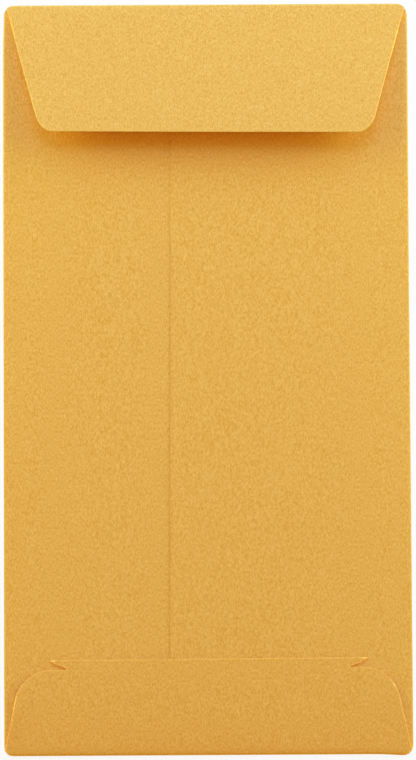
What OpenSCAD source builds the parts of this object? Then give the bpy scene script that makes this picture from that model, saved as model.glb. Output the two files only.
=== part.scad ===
// Open-end paper envelope, the coin or seed kind, folded from one sheet of kraft paper.
// It lies on its plain face with the seam, the bottom flap and the raised top flap on top.
// X runs across the envelope, Y up to the mouth, Z away from the table, all in millimetres.

/* [Pocket] */
// Width across the folded envelope
body_w = 88.9; // [80:0.1:120]
// Length from the bottom fold to the top fold
body_l = 165.1; // [120:0.1:240]
// Radius of the pocket's folded corners
corner_r = 2.1; // [0.5:0.1:4]
// Thickness of the kraft paper
paper_t = 0.15; // [0.1:0.01:0.3]
// Room between the plain face and the side panels of the empty pocket
pocket_gap = 0.5; // [0.3:0.05:1.5]
// Distance that the mouth's edge lies below the top fold
mouth_drop = 1.2; // [0.8:0.1:4]
// Distance that the side panels stop short of the bottom fold
panel_stop = 1; // [0.8:0.1:4]

/* [Seam] */
// Distance of the right panel's cut edge to the left of the middle, at half length
seam_offset = 8; // [0:0.5:14]
// Lean of the cut edge to the envelope's sides, in degrees
seam_lean = 0.3; // [-1:0.1:1]
// Width of the glued strip, where the left panel runs on below the right one
seam_lap = 11; // [6:0.5:16]
// Length over which the left panel dips below the right one
seam_dip = 0.8; // [0.5:0.1:2]

/* [Top flap] */
// Length of the top flap, from its fold to its free edge
flap_l = 28.7; // [18:0.1:45]
// Distance of the flap's side from the pocket's side at the fold
flap_inset = 0.35; // [0.2:0.05:3]
// Slant of the flap's sides, in degrees
flap_slant = 15; // [5:0.5:25]
// Radius of the flap's two free corners
flap_corner_r = 5.5; // [1:0.5:10]
// Depth that the straight free edge trims off those rounds, which leaves a faint knee
flap_trim = 0.5; // [0.1:0.1:0.8]
// Angle at which the flap stands off the pocket, in degrees
flap_lift = 7.5; // [1:0.5:20]

/* [Bottom flap] */
// Height of the tab's straight edge above the bottom fold
tab_h = 20.75; // [20:0.25:32]
// Distance of the tab's points from the pocket's side
tab_inset = 9.6; // [8.5:0.1:14]
// Radius of the tab's two points
tab_tip_r = 0.15; // [0.1:0.05:0.8]
// Depth of the nick below each point of the tab
nick_depth = 4; // [2:0.1:5]
// Width of the nick's blunt inner end
nick_end = 0.4; // [0.2:0.1:0.6]
// Bow of the tab's undercut edge over the nick
nick_bow = 0.2; // [0.05:0.05:0.4]
// Height of the flap's shoulders above the bottom fold
shoulder_h = 18.5; // [12:0.1:19]
// Radius of the shoulders
shoulder_r = 7; // [3:0.5:8]
// Slant of the bottom flap's sides, in degrees
bottom_slant = 12; // [4:1:16]
// Distance of the bottom flap's side from the pocket's side at the fold
bottom_inset = 0.15; // [0.1:0.05:2]

/* [Hidden] */
kraft = [0.88, 0.68, 0.32];
// Facets of a fold's full circle, and of each rounded corner in an outline
fold_fn = 48;
corner_steps = 10;
// Distance that a cutting shape runs past what it cuts
past = 1;

half_w = body_w / 2;
half_l = body_l / 2;
// Heights of the sheet's undersides: the side panels, the tucked edge and the bottom flap
panel_z = paper_t + pocket_gap;
tucked_z = panel_z - paper_t;
bottom_flap_z = panel_z + paper_t;
// Outer radius of each fold. A sheet of air stays between the pocket and the top flap's root
side_fold_r = (panel_z + paper_t) / 2;
bottom_fold_r = (bottom_flap_z + paper_t) / 2;
top_fold_r = (panel_z + 3 * paper_t) / 2;
// Ends of the side panels along Y
mouth_y = half_l - mouth_drop;
panel_foot_y = -half_l + panel_stop;
// Half widths of the two flaps at their folds
flap_root = half_w - flap_inset;
bottom_root = half_w - bottom_inset;

// Points of an outline [[x, y, r], ...] with each corner rounded to its own radius r
function rounded(outline) = [
    for (i = [0:len(outline) - 1])
        each corner_arc(
            outline[(i + len(outline) - 1) % len(outline)], outline[i], outline[(i + 1) % len(outline)])
];

// The arc that rounds the corner at b between a and c, from a's side to c's side
function corner_arc(a, b, c) =
    b.z == 0 ? [[b.x, b.y]] :
    let (
        to_a = unit([a.x - b.x, a.y - b.y]),
        to_c = unit([c.x - b.x, c.y - b.y]),
        half = acos(to_a * to_c) / 2,
        centre = [b.x, b.y] + unit(to_a + to_c) * b.z / sin(half),
        first = [b.x, b.y] + to_a * b.z / tan(half) - centre,
        turn = (180 - 2 * half) * sign(to_a.x * to_c.y - to_a.y * to_c.x) * -1,
        start = atan2(first.y, first.x)
    )
    [for (k = [0:corner_steps])
        let (angle = start + turn * k / corner_steps)
        centre + b.z * [cos(angle), sin(angle)]];

function unit(v) = v / norm(v);

// A half outline and its mirror image, as one closed outline
function both_sides(right) = concat(
    right, [for (i = [len(right) - 1:-1:0]) [-right[i].x, right[i].y, right[i].z]]);

// Carries a section drawn in X and Z along Y
module along_y(from, to) {
    translate([0, to, 0]) rotate([90, 0, 0]) linear_extrude(to - from) children();
}

// Carries a section drawn in Y and Z along X, to both sides of the middle
module across_x(half_width) {
    translate([-half_width, 0, 0]) rotate([90, 0, 90]) linear_extrude(2 * half_width) children();
}

// The sheet's thickness round a fold of outer radius r, as a full ring
module fold_ring(r) {
    difference() {
        circle(r, $fn = fold_fn);
        circle(r - paper_t, $fn = fold_fn);
    }
}

// The half plane to the right of the fold's centre
module right_half(r) {
    translate([0, -2 * r]) square([2 * r, 4 * r]);
}

// Outline of the closed pocket with its worn corners
module pocket_outline() {
    polygon(rounded([
        [-half_w, -half_l, corner_r], [half_w, -half_l, corner_r],
        [half_w, half_l, corner_r], [-half_w, half_l, corner_r]]));
}

// The plain face, which lies on the table and runs on into both flaps
module plain_face() {
    side = half_w - side_fold_r;
    translate([-side, -half_l + bottom_fold_r, 0])
        cube([2 * side, body_l - bottom_fold_r - top_fold_r, paper_t]);
}

// The half round fold along the pocket's right side
module side_fold() {
    along_y(panel_foot_y, mouth_y)
        translate([half_w - side_fold_r, side_fold_r])
            intersection() {
                fold_ring(side_fold_r);
                right_half(side_fold_r);
            }
}

// The right panel, whose leaning cut edge shows as the seam
module right_panel() {
    along_seam() translate([0, panel_z]) square([body_w, paper_t]);
}

// The left panel, which dips at the seam and ends under the right panel
module left_panel() {
    along_seam()
        polygon([
            [-body_w, panel_z], [-seam_dip, panel_z],
            [0, tucked_z], [seam_lap, tucked_z],
            [seam_lap, panel_z], [0, panel_z],
            [-seam_dip, panel_z + paper_t], [-body_w, panel_z + paper_t]]);
}

// Carries a side panel's section along the leaning seam, as far as the panels reach
module along_seam() {
    intersection() {
        translate([-seam_offset, 0, 0]) rotate([0, 0, -seam_lean]) along_y(-body_l, body_l) children();
        panel_room();
    }
}

// The room between the side folds that the side panels fill, from the bottom to the mouth
module panel_room() {
    side = half_w - side_fold_r;
    translate([-side, panel_foot_y, tucked_z])
        cube([2 * side, mouth_y - panel_foot_y, 2 * paper_t]);
}

// Outline of the sheet that folds up over the pocket's foot: a tab with two nicked points
module bottom_flap_outline() {
    shoulder_x = bottom_root - shoulder_h * tan(bottom_slant);
    tab_x = half_w - tab_inset;
    nick_h = shoulder_h + nick_end;
    translate([0, -half_l])
        polygon(rounded(both_sides([
            [bottom_root, -past, 0], [bottom_root, 0, 0],
            [shoulder_x, shoulder_h, shoulder_r],
            [tab_x - nick_depth, shoulder_h, 0], [tab_x - nick_depth, nick_h, 0],
            [tab_x - nick_depth / 2, (nick_h + tab_h) / 2 - nick_bow, nick_depth],
            [tab_x, tab_h, tab_tip_r]])));
}

// The bottom flap, glued down over both side panels, with its fold
module bottom_flap() {
    intersection() {
        across_x(half_w)
            translate([-half_l + bottom_fold_r, 0]) {
                translate([0, bottom_fold_r])
                    intersection() {
                        fold_ring(bottom_fold_r);
                        mirror([1, 0]) right_half(bottom_fold_r);
                    }
                translate([0, bottom_flap_z]) square([tab_h, paper_t]);
                square([panel_stop, paper_t]);
            }
        linear_extrude(bottom_flap_z + past) bottom_flap_outline();
    }
}

// Outline of the top flap in its own plane, from past the fold at zero down to the free edge
module top_flap_outline() {
    round_l = flap_l + flap_trim;
    round_x = flap_root - round_l * tan(flap_slant);
    intersection() {
        polygon(rounded(both_sides([
            [round_x, -round_l, flap_corner_r],
            [flap_root, 0, 0], [flap_root, past, 0]])));
        translate([-half_w, -flap_l]) square([body_w, flap_l + past]);
    }
}

// The top flap and its fold, which springs open and holds the flap off the pocket
module top_flap() {
    intersection() {
        across_x(half_w)
            translate([half_l - top_fold_r, 0]) {
                translate([0, top_fold_r]) {
                    intersection() {
                        fold_ring(top_fold_r);
                        right_half(top_fold_r);
                        rotate(-flap_lift) right_half(top_fold_r);
                    }
                    rotate(-flap_lift)
                        translate([-flap_l, top_fold_r - paper_t]) square([flap_l, paper_t]);
                }
                translate([-mouth_drop, 0]) square([mouth_drop, paper_t]);
            }
        translate([0, half_l - top_fold_r, top_fold_r]) rotate([-flap_lift, 0, 0])
            translate([0, top_fold_r, -flap_l]) linear_extrude(2 * flap_l) top_flap_outline();
    }
}

// The whole folded and glued sheet
module envelope() {
    color(kraft)
        intersection() {
            union() {
                plain_face();
                side_fold();
                mirror([1, 0, 0]) side_fold();
                left_panel();
                right_panel();
                bottom_flap();
                top_flap();
            }
            linear_extrude(flap_l) pocket_outline();
        }
}

envelope();
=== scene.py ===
import math

import bpy
import numpy as np
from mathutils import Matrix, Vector, noise
from mathutils.geometry import delaunay_2d_cdt


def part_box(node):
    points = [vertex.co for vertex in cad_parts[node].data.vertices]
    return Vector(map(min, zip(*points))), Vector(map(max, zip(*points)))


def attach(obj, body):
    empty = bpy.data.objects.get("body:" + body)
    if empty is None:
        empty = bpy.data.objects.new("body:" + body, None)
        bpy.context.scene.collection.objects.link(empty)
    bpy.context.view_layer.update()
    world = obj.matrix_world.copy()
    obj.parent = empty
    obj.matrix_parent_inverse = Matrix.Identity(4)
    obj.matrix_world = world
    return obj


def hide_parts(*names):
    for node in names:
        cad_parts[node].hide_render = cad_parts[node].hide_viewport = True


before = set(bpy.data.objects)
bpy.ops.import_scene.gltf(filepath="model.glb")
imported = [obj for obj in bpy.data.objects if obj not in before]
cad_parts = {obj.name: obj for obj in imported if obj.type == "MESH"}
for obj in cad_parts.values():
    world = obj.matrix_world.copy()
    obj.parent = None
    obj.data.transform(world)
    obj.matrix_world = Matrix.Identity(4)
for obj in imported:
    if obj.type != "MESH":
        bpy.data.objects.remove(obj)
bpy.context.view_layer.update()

low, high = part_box("envelope")

# The sheet is drawn in millimetres and scaled down once, when its mesh is made.
mm = 0.001
halfWidth = (high.x - low.x) / 2 / mm
halfLength = (high.y - low.y) / 2 / mm

# In the pairs of numbers of the sheet, its flaps and its relief, the first is for the right side and the
# second for the left, as neither the cutting die nor the folding is quite even. Angles are in degrees.
sheet = {
    "thickness": 0.15,
    "pocketGap": 0.5,  # air in the empty pocket
    "glueLine": 0.01,  # air between two layers that lie on each other
    "mouthDrop": 1.2,  # mouth edge below the top fold
    "panelStop": 1.0,  # side panels end short of the bottom fold
    "topCorners": (2.7, 2.35),  # radii of the worn corners
    "footCorners": (2.3, 1.9),
    "seam": -8.1,  # cut edge of the right panel at half length
    "seamLean": 0.3,
    "lap": 11.0,  # the left panel runs on this far under the right one
    "dipWidth": 9.0,  # and sinks under it over this width
}

topFlap = {
    "length": 28.72,
    "edgeSkew": 0.43,  # the free edge runs this much off square
    "edgeBow": 0.12,  # and its ends fall short by this much
    "inset": (0.49, 0.6),  # the slanted sides start this far in from the pocket's
    "slant": 15.0,
    "cornerRadius": 5.5,
    "trim": 0.5,  # the straight free edge cuts this much off the rounded corners
    "knee": 0.3,  # room between the last point of a rounded corner and the first of the straight edge
    "edgePieces": 24,
    "rootRows": (0.15, 0.35, 0.6, 1.0, 1.5, 2.2, 3.0),  # outline points from the fold to the plain slant
    "lift": 7.7,  # how far the flap stands open
}

footFlap = {
    "tabHeight": (21.0, 20.7),
    "tabInset": (9.45, 9.63),
    "tipRadius": 0.12,
    "nickDepth": (4.3, 3.95),
    "nickEnd": (0.12, 0.35),  # width of the nick's blunt inner end
    "nickBow": 0.2,  # the tab's undercut edges bow down by about this much
    "shoulderHeight": (18.85, 18.55),
    "shoulderRadius": 8.0,
    "slant": (12.8, 11.0),
    "inset": (0.0, 0.0),  # the slanted sides start right at the pocket's
    "rootRows": (3.0, 2.2, 1.5, 1.0, 0.7),  # heights of the outline points from the plain slant to the fold
    "sideLift": (0.2, 0.46),  # the unglued slanted sides stand off the pocket
    "sideLiftWidth": 6.0,
    "liftStart": 1.0,  # from this height up
    "liftPast": 1.0,  # over a length this much longer than the shoulder's height
}

meshing = {
    "step": 1.25,  # the grid's step, and the longest piece of the outline
    "foldRows": 10,  # rows of the grid round each fold
    "cornerStep": 0.3,  # closer columns of points where the folds end at the corners
    "cornerZone": 4.0,
    "edgeRows": (0.015, 0.045, 0.09, 0.15, 0.3),  # rows of points that follow every cut edge
    "rowFit": 0.93,  # where the edge bends, points nearer to it than this share of their row's depth go
    "rowMargin": 0.1,  # the grid stops this far from the last row
    "cornerPieces": 4,  # pieces of the outline round a worn corner and round each fold
    "footPieces": 8,
    "sidePieces": 14,
    "topPieces": 10,
    "together": 0.02,  # outline points that lie closer than this become one
    "batch": 2000,  # points measured against the outline at a time
}

cutEdges = {
    "round": 0.15,  # the cutting die presses the sheet thinner over this width
    "thickness": 0.8,  # to this share of its thickness
    "seamRound": 0.4,  # the glued edge is smoothed down flat over this width
    "seamThickness": 0.3,
    "tabHighlight": 0.4,  # painted highlight on edges that run across the bottom flap, this share of the one on its sides
    "freeEdgeHighlight": 0.0,  # and this much on the top flap
    "seamShadow": -0.38,  # painted shadow along the glued edge at the seam
}


def unitVector(x, y):
    size = math.hypot(x, y)
    return x / size, y / size


def roundedChain(points, steps=10):
    # points are (x, y, radius); the first and the last one stay sharp
    chain = [points[0][:2]]
    for before, corner, after in zip(points, points[1:], points[2:]):
        if corner[2] == 0:
            chain.append(corner[:2])
            continue
        toBefore = unitVector(before[0] - corner[0], before[1] - corner[1])
        toAfter = unitVector(after[0] - corner[0], after[1] - corner[1])
        half = math.acos(toBefore[0] * toAfter[0] + toBefore[1] * toAfter[1]) / 2
        middle = unitVector(toBefore[0] + toAfter[0], toBefore[1] + toAfter[1])
        reach = corner[2] / math.sin(half)
        cx, cy = corner[0] + middle[0] * reach, corner[1] + middle[1] * reach
        back = corner[2] / math.tan(half)
        startX, startY = corner[0] + toBefore[0] * back - cx, corner[1] + toBefore[1] * back - cy
        turning = toBefore[0] * toAfter[1] - toBefore[1] * toAfter[0]
        turn = -math.copysign(math.pi - 2 * half, turning)
        start = math.atan2(startY, startX)
        for k in range(steps + 1):
            angle = start + turn * k / steps
            chain.append((cx + corner[2] * math.cos(angle), cy + corner[2] * math.sin(angle)))
    chain.append(points[-1][:2])
    return chain


# Where the sheet bends. A fold's radius at mid paper is half the height between the layers that it joins,
# and the top fold is a little wider.
thick = sheet["thickness"]
panelLevel = thick + sheet["pocketGap"] + thick / 2
footLevel = panelLevel + thick + sheet["glueLine"]
sideRadius = (panelLevel - thick / 2) / 2
footRadius = (footLevel - thick / 2) / 2
topRadius = footRadius + thick / 2
sideLine = halfWidth - sideRadius - thick / 2
footLine = -halfLength + footRadius + thick / 2
topLine = halfLength - topRadius - thick / 2
topTurn = math.pi - math.radians(topFlap["lift"])
mouthEdge = halfLength - sheet["mouthDrop"]
panelFoot = -halfLength + sheet["panelStop"]


def seamAt(y):
    return sheet["seam"] + y * math.tan(math.radians(sheet["seamLean"]))


def cornerReach(half, inward, radius):
    # how far from its middle the pocket reaches, at a point this far into a worn corner
    return half if inward <= 0 else half - radius + math.sqrt(max(radius ** 2 - inward ** 2, 0))


def cornerReachY(x, radius):
    return cornerReach(halfLength, x - (halfWidth - radius), radius)


def cornerReachX(y, radius):
    return cornerReach(halfWidth, abs(y) - (halfLength - radius), radius)


def plainCorner(start, end, radius):
    # points on the plain face's worn corner between two heights, both left out
    pieces = meshing["cornerPieces"]
    heights = [start + (end - start) * k / pieces for k in range(1, pieces)]
    return [(cornerReachX(y, radius), y) for y in heights]


def footFlapPlan(side):
    # Half of the bottom flap, from the tab's middle down to its fold. Each point is its distance from the
    # middle and its height above the foot.
    root = halfWidth - footFlap["inset"][side]
    slope = math.tan(math.radians(footFlap["slant"][side]))
    tabX = halfWidth - footFlap["tabInset"][side]
    middle, tall = sum(footFlap["tabHeight"]) / 2, footFlap["tabHeight"][side]
    shoulder, nick = footFlap["shoulderHeight"][side], footFlap["nickDepth"][side]
    nickFoot = shoulder + footFlap["nickEnd"][side]
    plain, *lower = footFlap["rootRows"]
    plan = roundedChain([
        (0, middle, 0),
        (tabX, tall, footFlap["tipRadius"]),
        (tabX - nick / 2, (tall + nickFoot) / 2 - footFlap["nickBow"], nick),
        (tabX - nick, nickFoot, 0),
        (tabX - nick, shoulder, 0),
        (root - shoulder * slope, shoulder, footFlap["shoulderRadius"]),
        (root - plain * slope, plain, 0),
    ])
    corner = sheet["footCorners"][side]
    return plan + [(min(root - h * slope, cornerReachX(h - halfLength, corner)), h) for h in lower]


def topFlapPlan(side):
    # Half of the top flap, from its fold to the middle of its free edge. Each point is its distance from the
    # middle and its distance from the fold.
    root = halfWidth - topFlap["inset"][side]
    slope = math.tan(math.radians(topFlap["slant"]))
    corner = sheet["topCorners"][side]
    *lower, plain = topFlap["rootRows"]
    plan = []
    for run in lower:
        y = topLine + topRadius * math.sin(topTurn) - run
        plan.append((min(root - run * slope, cornerReachX(y, corner)), run))

    sign = 1 if side == 0 else -1
    skew = math.tan(math.radians(topFlap["edgeSkew"]))

    def freeEdge(x):
        return topFlap["length"] + sign * x * skew - topFlap["edgeBow"] * (x / root) ** 2

    roundEnd = freeEdge(root - topFlap["length"] * slope - topFlap["cornerRadius"]) + topFlap["trim"]
    pieces = topFlap["edgePieces"]
    rounded = roundedChain([
        (root - plain * slope, plain, 0),
        (root - roundEnd * slope, roundEnd, topFlap["cornerRadius"]),
        (0, roundEnd, 0),
    ], steps=pieces)
    slack = meshing["together"] / 2
    plan += [(x, run) for x, run in rounded[:-1] if run < freeEdge(x) - slack]
    edgeStart = plan[-1][0] - topFlap["knee"]
    for k in range(pieces + 1):
        x = edgeStart * (1 - k / pieces)
        plan.append((x, freeEdge(x)))
    return plan


def halfBlank(side):
    # Outline of one half of the unfolded sheet, from the middle of the tab to the middle of the top flap.
    # side is 0 for the right half and 1 for the left half, drawn mirrored.
    topCorner, footCorner = sheet["topCorners"][side], sheet["footCorners"][side]
    flatten = footLine - math.pi * footRadius + (footLine + halfLength)
    chain = [(x, flatten - height) for x, height in footFlapPlan(side)]

    pieces = meshing["footPieces"]
    for k in range(pieces + 1):  # end of the bottom fold, from the flap round to the plain face
        angle = math.pi * (1 - k / pieces)
        outer = footLine - (footRadius + thick / 2) * math.sin(angle)
        chain.append((cornerReachX(outer, footCorner), footLine - footRadius * angle))
    chain += plainCorner(footLine, -cornerReachY(sideLine, footCorner), footCorner)

    pieces = meshing["sidePieces"]
    for k in range(pieces + 1):  # foot of the side fold, from the plain face round to the side panel
        angle = math.pi * k / pieces
        outer = sideLine + (sideRadius + thick / 2) * math.sin(angle)
        foot = -cornerReachY(outer, footCorner)
        onPlainFace = k <= pieces / 2
        chain.append((sideLine + sideRadius * angle, foot if onPlainFace else max(foot, panelFoot)))

    def innerEdge(y):
        # the right panel is cut along the seam, and the left one ends under the right one
        edge = seamAt(y) if side == 0 else -(seamAt(y) + sheet["lap"])
        return 2 * sideLine + math.pi * sideRadius - edge

    chain.append((innerEdge(panelFoot), panelFoot))
    chain.append((innerEdge(mouthEdge), mouthEdge))

    for k in range(pieces + 1):  # head of the side fold, back to the plain face
        angle = math.pi * (1 - k / pieces)
        outer = sideLine + (sideRadius + thick / 2) * math.sin(angle)
        head = cornerReachY(outer, topCorner)
        onPlainFace = k >= pieces / 2
        chain.append((sideLine + sideRadius * angle, head if onPlainFace else min(head, mouthEdge)))
    chain += plainCorner(cornerReachY(sideLine, topCorner), topLine, topCorner)

    pieces = meshing["topPieces"]
    for k in range(pieces + 1):  # end of the top fold
        angle = topTurn * k / pieces
        outer = topLine + (topRadius + thick / 2) * math.sin(angle)
        chain.append((cornerReachX(outer, topCorner), topLine + topRadius * angle))
    foldEnd = topLine + topRadius * topTurn
    return chain + [(x, foldEnd + run) for x, run in topFlapPlan(side)]


def blankOutline():
    right = halfBlank(0)
    left = [(-x, y) for x, y in reversed(halfBlank(1))]
    outline = []
    for point in right + left[1:-1]:
        if not outline or math.dist(point, outline[-1]) > meshing["together"]:
            outline.append(point)
    dense = []
    for a, b in zip(outline, outline[1:] + outline[:1]):
        cuts = max(1, math.ceil(math.dist(a, b) / meshing["step"]))
        dense += [(a[0] + (b[0] - a[0]) * k / cuts, a[1] + (b[1] - a[1]) * k / cuts) for k in range(cuts)]
    return np.array(dense)


def distanceToOutline(points, outline):
    # distance of each point to the nearest cut edge, how far that edge runs lengthwise, and whether
    # the point lies on the sheet
    starts, ends = outline, np.roll(outline, -1, axis=0)
    run = ends - starts
    length2 = (run ** 2).sum(1)
    lengthwise = run[:, 1] ** 2 / length2
    level = np.where(run[:, 1] == 0, 1, run[:, 1])
    nearest = np.empty(len(points))
    steep = np.empty(len(points))
    inside = np.empty(len(points), bool)
    for first in range(0, len(points), meshing["batch"]):
        batch = slice(first, first + meshing["batch"])
        p = points[batch, None, :]
        along = np.clip(((p - starts) * run).sum(2) / length2, 0, 1)
        gap = ((p - (starts + along[..., None] * run)) ** 2).sum(2)
        nearest[batch] = np.sqrt(gap.min(1))
        steep[batch] = lengthwise[gap.argmin(1)]
        above = (starts[:, 1] > p[..., 1]) != (ends[:, 1] > p[..., 1])
        crossing = starts[:, 0] + (p[..., 1] - starts[:, 1]) / level * run[:, 0]
        inside[batch] = (above & (p[..., 0] < crossing)).sum(1) % 2 == 1
    return nearest, steep, inside


def gridLines(stops, fine):
    # positions between the stops, a step apart, with closer rows inside the stretches listed in fine
    lines = []
    for a, b in zip(stops, stops[1:]):
        step = fine.get((a, b), meshing["step"])
        cuts = max(1, math.ceil((b - a) / step - 1e-9))
        lines += [a + (b - a) * k / cuts for k in range(cuts)]
    return lines + [stops[-1]]


def blankPoints(outline):
    # A regular grid whose rows fall on the folds, and rows of points that follow the cut edges
    foldRows = meshing["foldRows"]
    cornerStart, panelStart = sideLine - meshing["cornerZone"], sideLine + math.pi * sideRadius
    reach = float(np.abs(outline[:, 0]).max())
    fine = {(cornerStart, sideLine): meshing["cornerStep"]}
    fine[sideLine, panelStart] = math.pi * sideRadius / foldRows
    across = gridLines([0, cornerStart, sideLine, panelStart, reach], fine)
    across = sorted(set(across) | {-x for x in across})

    foot, head = float(outline[:, 1].min()), float(outline[:, 1].max())
    footEnd, topEnd = footLine - math.pi * footRadius, topLine + topRadius * topTurn
    fine = {(footEnd, footLine): math.pi * footRadius / foldRows}
    fine[topLine, topEnd] = topRadius * topTurn / foldRows
    along = gridLines([foot, footEnd, footLine, topLine, topEnd, head], fine)
    grid = np.array([(x, y) for x in across for y in along])
    gap, _, inside = distanceToOutline(grid, outline)
    grid = grid[inside & (gap > meshing["edgeRows"][-1] + meshing["rowMargin"])]

    before, after = np.roll(outline, 1, axis=0), np.roll(outline, -1, axis=0)
    run = after - before
    inward = np.stack([-run[:, 1], run[:, 0]], 1) / np.hypot(run[:, 0], run[:, 1])[:, None]
    rows = []
    for depth in meshing["edgeRows"]:
        row = outline + inward * depth
        gap, _, inside = distanceToOutline(row, outline)
        rows.append(row[inside & (gap > depth * meshing["rowFit"])])
    return np.concatenate([grid, *rows])


def smooth(x):
    x = np.clip(x, 0, 1)
    return x * x * (3 - 2 * x)


def cutShare(gap):
    # how much of its thickness the sheet keeps at this distance from an edge cut by the die
    press = np.clip(1 - gap / cutEdges["round"], 0, 1)
    return cutEdges["thickness"] + (1 - cutEdges["thickness"]) * np.sqrt(1 - press ** 2)


def seamShare(gap):
    # the same at the seam, where the edge is glued down
    return cutEdges["seamThickness"] + (1 - cutEdges["seamThickness"]) * smooth(gap / cutEdges["seamRound"])


def edgeFinish(flat, outline):
    # The share of its thickness that the sheet keeps at each point, and the painted highlight along its cut
    # edges, brightest where an edge runs lengthwise, with a painted shadow in its place along the seam's
    # glued edge
    gap, steep, _ = distanceToOutline(flat, outline)
    pastFold = halfWidth + 1  # only the side panels reach this far out in the blank
    onPanel = np.abs(flat[:, 0]) > pastFold
    share = np.where(onPanel, seamShare(gap), cutShare(gap))
    across = np.where(flat[:, 1] < 0, cutEdges["tabHighlight"], cutEdges["freeEdgeHighlight"])
    # painted shadow along the seam's glued edge on the side panels; elsewhere a painted highlight along the
    # cut edge, partly the paler cut paper, full where the edge runs lengthwise
    pale = np.where(onPanel, cutEdges["seamShadow"], across + (1 - across) * steep)
    return share, pale * np.clip(1 - gap / meshing["edgeRows"][-1], 0, 1)


relief = {
    "puff": 0.6,  # the empty pocket bulges by this much
    "footRoll": 7.5,  # the bulge dies away over this length at the bottom fold
    "sidePower": 6.0,  # the higher, the nearer to the sides it keeps its height
    "mouthShare": 0.2,  # share of it that is left at the mouth
    "mouthRun": 45.0,
    "cockle": 0.02,  # slow waves in the paper
    "cockleSize": 16.0,
    "cockleStretch": 0.6,
    "cockleSeed": 3.1,
    "flapRun": 10.0,  # they grow over this length from the top fold
    "topPinch": (-0.1, 0.22),  # the sides are drawn in by this much where the top flap folds over
    "pinchRun": (60.0, 13.0),
    "pinchPower": 4,
    "footDroop": (0.32, 0.0),  # the ends of the bottom fold hang out by this much
    "droopRun": 8.0,
}


def roundFold(past, radius, turn):
    # how far round a fold each point has come, and how far it lies beyond the fold
    return np.clip(past / radius, 0, turn), np.maximum(past - turn * radius, 0)


def pocketBulge(x, y):
    # How far the pocket's upper side bulges, rolling off towards its folds, and the slow waves in the paper
    across = 1 - np.minimum(np.abs(x) / halfWidth, 1) ** relief["sidePower"]
    fromFoot = 1 - np.exp(-np.maximum(y + halfLength, 0) / relief["footRoll"])
    fromMouth = smooth((mouthEdge - y) / relief["mouthRun"])
    fromMouth = relief["mouthShare"] + (1 - relief["mouthShare"]) * fromMouth
    bulge = relief["puff"] * across * fromFoot * fromMouth

    size, stretch, seed = relief["cockleSize"], relief["cockleStretch"], relief["cockleSeed"]
    waves = np.array([noise.noise(Vector((a / size, b / size * stretch, seed))) for a, b in zip(x, y)])
    return bulge + relief["cockle"] * waves * across * fromFoot, waves


def foldSheet(flat):
    # Folds flat points (mid paper) into the closed envelope. Returns their places, and how far round a side
    # fold or the top fold each one is, which masks the painted shade over those folds.
    u, v = flat[:, 0], flat[:, 1]

    over = np.abs(u) - sideLine
    turned, beyond = roundFold(over, sideRadius, math.pi)
    isSide = over > 0
    x = np.where(isSide, np.sign(u) * (sideLine + sideRadius * np.sin(turned) - beyond), u)
    z = np.where(isSide, thick / 2 + sideRadius * (1 - np.cos(turned)), thick / 2)
    raised = np.where(isSide, (1 - np.cos(turned)) / 2, 0)
    crest = np.where(isSide, np.sin(turned), 0)

    down = footLine - v
    turned, beyond = roundFold(down, footRadius, math.pi)
    isFoot = down > 0
    y = np.where(isFoot, footLine - footRadius * np.sin(turned) + beyond, v)
    z = np.where(isFoot, thick / 2 + footRadius * (1 - np.cos(turned)), z)
    raised = np.where(isFoot, (1 - np.cos(turned)) / 2, raised)

    up = v - topLine
    turned, beyond = roundFold(up, topRadius, topTurn)
    isTop = up > 0
    y = np.where(isTop, topLine + topRadius * np.sin(turned) + beyond * math.cos(topTurn), y)
    z = np.where(isTop, thick / 2 + topRadius * (1 - np.cos(turned)) + beyond * math.sin(topTurn), z)
    crest = np.where(isTop, np.sin(turned), crest)

    # the left panel sinks under the right one towards the seam, and the right one's edge is glued down flat
    past = x - seamAt(y)
    sinks = isSide & (u < 0)
    z = z - np.where(sinks, (thick + sheet["glueLine"]) * smooth(past / sheet["dipWidth"] + 1) * raised, 0)
    z = z - np.where(isSide & (u > 0), thick / 2 * (1 - seamShare(past)) * raised, 0)

    bulge, waves = pocketBulge(x, y)
    z = z + bulge * np.where(isTop, 0, raised)
    z = z + np.where(isTop, relief["cockle"] * waves * smooth(beyond / relief["flapRun"]), 0)

    # the slanted sides of the bottom flap aren't glued right to their edges
    height = y + halfLength
    for side, sign in enumerate((1, -1)):
        slope = math.tan(math.radians(footFlap["slant"][side]))
        sideX = halfWidth - footFlap["inset"][side] - height * slope
        nearEdge = smooth(1 - (sideX - sign * x) / footFlap["sideLiftWidth"])
        share = (height - footFlap["liftStart"]) / (footFlap["shoulderHeight"][side] + footFlap["liftPast"])
        window = np.sin(math.pi * np.clip(share, 0, 1))
        lift = footFlap["sideLift"][side] * nearEdge * window
        z = z + np.where(isFoot & (sign * x > 0), lift * raised, 0)

    # the pocket isn't quite square: its sides draw in at the mouth and the bottom fold hangs out at its end
    for sign, pinch, run, droop in zip((1, -1), relief["topPinch"], relief["pinchRun"], relief["footDroop"]):
        share = np.where(sign * x > 0, smooth(1 - (halfLength - y) / run), 0)
        x = x - sign * pinch * share * (x / halfWidth) ** relief["pinchPower"]
        nearEnd = smooth(1 - (halfWidth - sign * x) / relief["droopRun"])
        y = y - droop * nearEnd * smooth(1 - height / relief["droopRun"])
    return np.stack([x, y, z], 1), crest


def paperNormals(places, faces):
    corners = places[faces]
    facing = np.cross(corners[:, 1] - corners[:, 0], corners[:, 2] - corners[:, 0])
    normals = np.zeros_like(places)
    for k in range(3):
        np.add.at(normals, faces[:, k], facing)
    return normals / np.linalg.norm(normals, axis=1)[:, None]


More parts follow.
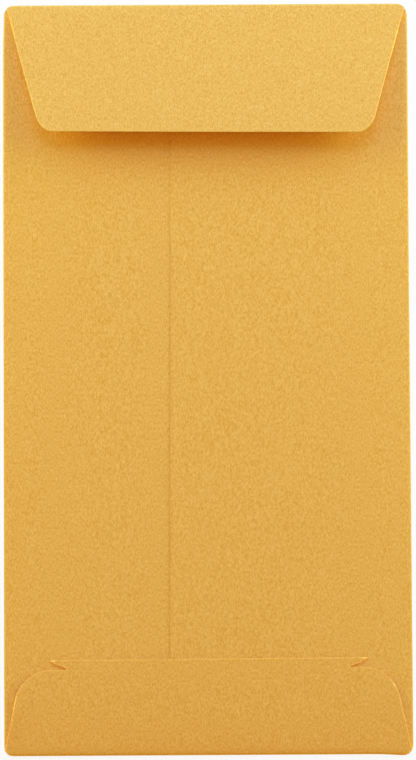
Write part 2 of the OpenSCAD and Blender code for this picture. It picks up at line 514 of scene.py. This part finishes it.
def thickenPaper(places, faces, share):
    # Gives the folded sheet its two faces and closes them along the cut edge, which is pressed thinner
    offset = paperNormals(places, faces) * (thick / 2 * share)[:, None]
    solid = np.concatenate([places + offset, places - offset])
    count = len(places)
    upper = [tuple(face) for face in faces.tolist()]
    lower = [tuple(i + count for i in reversed(face)) for face in upper]
    directed = {(a, b) for face in upper for a, b in zip(face, face[1:] + face[:1])}
    rim = [(a, a + count, b + count, b) for a, b in sorted(directed) if (b, a) not in directed]
    return solid, upper + lower + rim


def makeEnvelope():
    outline = blankOutline()
    points = [Vector(p) for p in np.concatenate([outline, blankPoints(outline)]).tolist()]
    ring = [list(range(len(outline)))]
    insideOnly, tolerance = 1, 1e-4
    flat, _, faces, *_ = delaunay_2d_cdt(points, [], ring, insideOnly, tolerance)
    flat = np.array([(p.x, p.y) for p in flat])
    print(f"blank: {len(outline)} outline points, {len(flat)} points in all, {len(faces)} triangles")

    share, pale = edgeFinish(flat, outline)
    places, crest = foldSheet(flat)
    solid, skins = thickenPaper(places, np.array(faces), share)
    lowest = float(solid[:, 2].min())
    solid[:, 2] -= lowest
    mesh = bpy.data.meshes.new("envelopeSheet")
    mesh.from_pydata((solid * mm).tolist(), [], skins)
    mesh.shade_smooth()
    # the painted edge highlight and seam shadow, and the mask of the painted shade over the folds
    for name, values in (("edgeLightAndShade", pale), ("paintedFoldShade", crest)):
        painted = mesh.attributes.new(name, "FLOAT", "POINT")
        painted.data.foreach_set("value", np.tile(values, 2))  # both faces of the paper
    piece = bpy.data.objects.new("envelopeSheet", mesh)
    bpy.context.scene.collection.objects.link(piece)
    print(f"envelope: {len(mesh.vertices)} points, {len(mesh.polygons)} faces, lowest {lowest:.4f} mm")
    return piece


kraft = {
    "darkFibre": (0.681, 0.328, 0.033),
    "lightFibre": (0.839, 0.512, 0.131),
    "fibres": 3900.0,  # a metre
    "fibreStretch": 0.45,  # they are drawn out along the envelope
    "fibreDetail": 3.0,
    "contrast": 2.4,
    "clouds": 240.0,  # a metre
    "cloudDetail": 2.0,
    "cloudDepth": 0.006,  # they are lighter and darker by about this share
    "seeds": (0.31, 0.77),  # of the fibres and the clouds
    "edgeHighlight": 0.35,  # painted highlight along the cut edges, partly the paler cut paper
    "foldShade": -0.1,  # and painted shade over the side and top folds
    "gloss": 0.25,
    "roughness": (0.78, 0.94),
    "bump": 0.08,
    "bumpHeight": 0.00001,
}


def kraftMaterial():
    material = bpy.data.materials.new("kraftPaper")
    material.use_nodes = True
    nodes, links = material.node_tree.nodes, material.node_tree.links
    shader = nodes["Principled BSDF"]
    shader.inputs["Specular IOR Level"].default_value = kraft["gloss"]
    place = nodes.new("ShaderNodeTexCoord")

    def spots(scale, stretch, detail, seed):
        mapping = nodes.new("ShaderNodeMapping")
        mapping.inputs["Scale"].default_value = (1, stretch, 1)
        mapping.inputs["Location"].default_value = (seed, seed * 0.7, 0)
        texture = nodes.new("ShaderNodeTexNoise")
        texture.inputs["Scale"].default_value = scale
        texture.inputs["Detail"].default_value = detail
        links.new(place.outputs["Object"], mapping.inputs["Vector"])
        links.new(mapping.outputs["Vector"], texture.inputs["Vector"])
        return texture.outputs["Fac"]

    def scaleAndAdd(value, factor, added):
        node = nodes.new("ShaderNodeMath")
        node.operation = "MULTIPLY_ADD"
        links.new(value, node.inputs[0])
        node.inputs[1].default_value = factor
        if isinstance(added, (int, float)):
            node.inputs[2].default_value = added
        else:
            links.new(added, node.inputs[2])
        return node.outputs[0]

    def painted(name):
        attribute = nodes.new("ShaderNodeAttribute")
        attribute.attribute_name = name
        return attribute.outputs["Fac"]

    def mixColour(blend, factor, first, second):
        mix = nodes.new("ShaderNodeMix")
        mix.data_type = "RGBA"
        mix.blend_type = blend
        for name, value in (("Factor", factor), ("A", first), ("B", second)):
            # the same names are used for the node's number and vector sockets
            socket = next(s for s in mix.inputs if s.name == name and s.enabled)
            if isinstance(value, (int, float)):
                socket.default_value = value
            elif isinstance(value, tuple):
                socket.default_value = (*value, 1)
            else:
                links.new(value, socket)
        return next(s for s in mix.outputs if s.enabled)

    fibreSeed, cloudSeed = kraft["seeds"]
    fibres = spots(kraft["fibres"], kraft["fibreStretch"], kraft["fibreDetail"], fibreSeed)
    clouds = spots(kraft["clouds"], 1.0, kraft["cloudDetail"], cloudSeed)
    # both kinds of noise lie round 0.5, the fibres' share stays round it and the clouds' tone lies round 1
    share = scaleAndAdd(fibres, kraft["contrast"], 0.5 - 0.5 * kraft["contrast"])
    paper = mixColour("MIX", share, kraft["darkFibre"], kraft["lightFibre"])
    tone = scaleAndAdd(clouds, 4 * kraft["cloudDepth"], 1 - 2 * kraft["cloudDepth"])
    # painted highlight along the cut edges and painted shadow along the seam
    tone = scaleAndAdd(painted("edgeLightAndShade"), kraft["edgeHighlight"], tone)
    # painted shade over the side and top folds
    tone = scaleAndAdd(painted("paintedFoldShade"), kraft["foldShade"], tone)
    links.new(mixColour("MULTIPLY", 1.0, paper, tone), shader.inputs["Base Color"])

    smoothest, roughest = kraft["roughness"]
    links.new(scaleAndAdd(fibres, roughest - smoothest, smoothest), shader.inputs["Roughness"])

    bump = nodes.new("ShaderNodeBump")
    bump.inputs["Strength"].default_value = kraft["bump"]
    bump.inputs["Distance"].default_value = kraft["bumpHeight"]
    links.new(fibres, bump.inputs["Height"])
    links.new(bump.outputs["Normal"], shader.inputs["Normal"])
    # the cut edges' highlight and the folds' shade are painted into the paper's colour
    print("paper: kraft fibres, painted highlight on the cut edges, painted shade on the folds")
    return material


# Metres and watts from here on
studio = {
    # name: degrees above the table, degrees round from behind the mouth, distance, width, height,
    # watts, colour
    "lamps": {
        "leftBox": (14.0, -70.0, 0.5, 0.31, 0.145, 2.35, (0.85, 1.0, 0.36)),
        "rightBox": (14.0, 70.0, 0.5, 0.31, 0.145, 2.65, (0.75, 1.0, 0.4)),
        "leftStrip": (14.0, -35.0, 0.85, 0.53, 0.24, 4.2, (0.31, 0.75, 1.0)),
        "rightStrip": (14.0, 35.0, 0.85, 0.53, 0.24, 6.6, (0.29, 0.5, 1.0)),
        "backBox": (42.0, 0.0, 0.8, 0.4, 0.34, 3.6, (0.2, 0.36, 1.0)),
        "frontStrip": (14.0, 180.0, 2.4, 1.5, 0.68, 27.0, (0.69, 1.0, 0.17)),
        "frontBoard": (60.0, 180.0, 2.4, 1.2, 0.84, 19.0, (1.0, 0.26, 0.01)),
        "topBoard": (90.0, 0.0, 2.0, 0.5, 0.5, 4.2, (1.0, 0.11, 0.01)),
    },
    "worldColour": (0.9, 0.6, 0.4),
    "worldStrength": 0.01,
    "floorWidth": 6.0,
    "floorDrop": 0.00002,  # keeps the floor clear of the paper's lowest points
    "floorColour": (0.9, 0.9, 0.9),
    "floorRoughness": 0.9,
    "floorGloss": 0.1,
    "floorGlow": 0.9,  # share of plain white that the camera sees in the floor
}


def seenBy(nodes, links, share):
    # share for rays that show the background: from the camera, in gloss and through glass
    rays = nodes.new("ShaderNodeLightPath")
    either = nodes.new("ShaderNodeMath")
    either.operation = "MAXIMUM"
    links.new(rays.outputs["Is Camera Ray"], either.inputs[0])
    links.new(rays.outputs["Is Glossy Ray"], either.inputs[1])
    both = nodes.new("ShaderNodeMath")
    both.operation = "MAXIMUM"
    links.new(either.outputs[0], both.inputs[0])
    links.new(rays.outputs["Is Transmission Ray"], both.inputs[1])
    scaled = nodes.new("ShaderNodeMath")
    scaled.operation = "MULTIPLY"
    links.new(both.outputs[0], scaled.inputs[0])
    scaled.inputs[1].default_value = share
    return scaled.outputs[0]


def makeFloor():
    half, level = studio["floorWidth"] / 2, -studio["floorDrop"]
    corners = [(-half, -half, level), (half, -half, level), (half, half, level), (-half, half, level)]
    mesh = bpy.data.meshes.new("floor")
    mesh.from_pydata(corners, [], [(0, 1, 2, 3)])
    floor = bpy.data.objects.new("floor", mesh)
    bpy.context.scene.collection.objects.link(floor)
    material = bpy.data.materials.new("paleFloor")
    material.use_nodes = True
    nodes, links = material.node_tree.nodes, material.node_tree.links
    shader = nodes["Principled BSDF"]
    shader.inputs["Base Color"].default_value = (*studio["floorColour"], 1)
    shader.inputs["Roughness"].default_value = studio["floorRoughness"]
    shader.inputs["Specular IOR Level"].default_value = studio["floorGloss"]
    white = nodes.new("ShaderNodeEmission")
    white.inputs["Strength"].default_value = 1.0
    mix = nodes.new("ShaderNodeMixShader")
    links.new(seenBy(nodes, links, studio["floorGlow"]), mix.inputs[0])
    links.new(shader.outputs[0], mix.inputs[1])
    links.new(white.outputs[0], mix.inputs[2])
    links.new(mix.outputs[0], nodes["Material Output"].inputs["Surface"])
    mesh.materials.append(material)
    return floor


def makeLamp(name, above, bearing, distance, width, height, watts, colour):
    light = bpy.data.lights.new(name, "AREA")
    light.shape = "RECTANGLE"
    light.size, light.size_y = width, height
    light.energy = watts
    light.color = colour
    lamp = bpy.data.objects.new(name, light)
    above, bearing = math.radians(above), math.radians(bearing)
    flat = math.cos(above)
    lamp.location = Vector((flat * math.sin(bearing), flat * math.cos(bearing), math.sin(above))) * distance
    towardsMiddle = Vector((0, 0, 0)) - lamp.location
    lamp.rotation_euler = towardsMiddle.to_track_quat("-Z", "Y").to_euler()
    lamp.visible_camera = False
    bpy.context.scene.collection.objects.link(lamp)


def makeStudio():
    for name, settings in studio["lamps"].items():
        makeLamp(name, *settings)

    world = bpy.data.worlds.new("paleRoom")
    world.use_nodes = True
    bpy.context.scene.world = world
    nodes, links = world.node_tree.nodes, world.node_tree.links
    dim = nodes["Background"]
    dim.inputs["Color"].default_value = (*studio["worldColour"], 1)
    dim.inputs["Strength"].default_value = studio["worldStrength"]
    white = nodes.new("ShaderNodeBackground")
    white.inputs["Color"].default_value = (1, 1, 1, 1)
    mix = nodes.new("ShaderNodeMixShader")
    links.new(seenBy(nodes, links, 1.0), mix.inputs[0])
    links.new(dim.outputs[0], mix.inputs[1])
    links.new(white.outputs[0], mix.inputs[2])
    links.new(mix.outputs[0], nodes["World Output"].inputs["Surface"])
    bpy.context.scene.view_settings.view_transform = "Standard"
    print(f"studio: {len(studio['lamps'])} lamps over a pale floor")


camera = {
    "distance": 1.3,
    "tilt": 6.25,  # degrees off straight down, towards the foot of the envelope
    "turn": -0.32,
    "aim": (0.00027, -0.00054),  # the point on the table that it looks at
    "lens": 281.5,  # the lens and the sensor in millimetres
    "sensor": 36.0,
    "clip": (0.05, 20.0),
}


def makeCamera():
    data = bpy.data.cameras.new("camera")
    data.sensor_width = camera["sensor"]
    data.lens = camera["lens"]
    data.clip_start, data.clip_end = camera["clip"]
    item = bpy.data.objects.new("camera", data)
    tilt, turn = math.radians(camera["tilt"]), math.radians(camera["turn"])
    back = Vector((math.sin(turn) * math.sin(tilt), -math.cos(turn) * math.sin(tilt), math.cos(tilt)))
    item.location = Vector((*camera["aim"], 0)) + back * camera["distance"]
    item.rotation_euler = (tilt, 0, turn)
    bpy.context.scene.collection.objects.link(item)
    bpy.context.scene.camera = item
    print(f"camera: {camera['distance']} m away")


makeCamera()
makeStudio()
makeFloor()
envelope = makeEnvelope()
envelope.data.materials.append(kraftMaterial())
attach(envelope, "root")
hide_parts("envelope")
